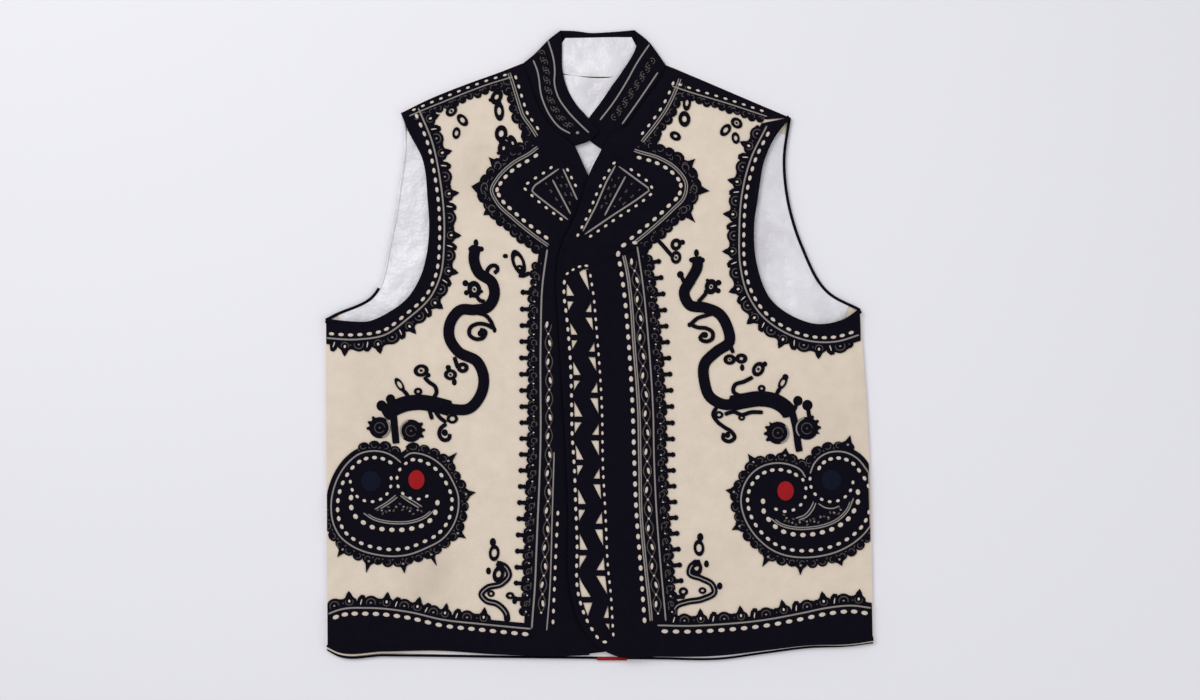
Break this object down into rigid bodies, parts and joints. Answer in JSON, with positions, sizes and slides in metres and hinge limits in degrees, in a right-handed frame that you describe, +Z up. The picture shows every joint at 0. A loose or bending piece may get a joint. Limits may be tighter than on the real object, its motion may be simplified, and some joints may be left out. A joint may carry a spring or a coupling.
{
  "type": "folk vest",
  "caption": "Sleeveless folk vest of cream felted wool with black felt and braid applique, low crossed stand collar, white satin lining and lapped front, laid flat face up",
  "frame": {"origin": "centre of the bounding box in plan, on the surface that the vest lies on", "axes": "+Z up out of the table towards the viewer, +Y from the hem to the collar, +X towards the wearer's left side, which is on the viewer's right"},
  "size_m": [0.5462, 0.6294, 0.0121],
  "materials": {
    "cream_wool": "matt felted wool",
    "black_felt": "matt black felt with a navy tint",
    "satin": "white satin with a soft sheen",
    "red_felt": "matt red felt",
    "blue_felt": "matt dark blue felt"
  },
  "bodies": {
    "root": {"back": "cream_wool", "back_lining": "satin", "binding_armhole_left": "black_felt", "binding_armhole_right": "black_felt", "binding_back_armhole_left": "black_felt", "binding_back_armhole_right": "black_felt", "binding_back_hem_left": "black_felt", "binding_back_hem_right": "black_felt", "binding_front_left": "black_felt", "binding_front_right": "black_felt", "binding_hem_right": "black_felt", "braid_column_left": "black_felt", "collar_back": "black_felt", "collar_back_lining": "satin", "collar_left": "black_felt", "collar_right": "black_felt", "eye_blue_left": "blue_felt", "eye_blue_right": "blue_felt", "eye_red_left": "red_felt", "eye_red_right": "red_felt", "felt_armhole_left": "black_felt", "felt_armhole_right": "black_felt", "felt_breast_left": "black_felt", "felt_breast_right": "black_felt", "felt_column_left": "black_felt", "felt_column_right": "black_felt", "felt_edge_left": "black_felt", "felt_hem_left": "black_felt", "felt_hem_right": "black_felt", "felt_neck_left": "black_felt", "felt_neck_right": "black_felt", "felt_shoulder_left": "black_felt", "felt_shoulder_right": "black_felt", "front_left": "cream_wool", "front_right": "cream_wool", "hem_tab": "red_felt", "medallion_left": "black_felt", "medallion_right": "black_felt", "rosette_inner_left": "black_felt", "rosette_inner_right": "black_felt", "rosette_outer_left": "black_felt", "rosette_outer_right": "black_felt", "sprig_left": "black_felt", "sprig_right": "black_felt", "vine_centre": "black_felt", "vine_left": "black_felt", "vine_right": "black_felt"}
  },
  "joints": []
}
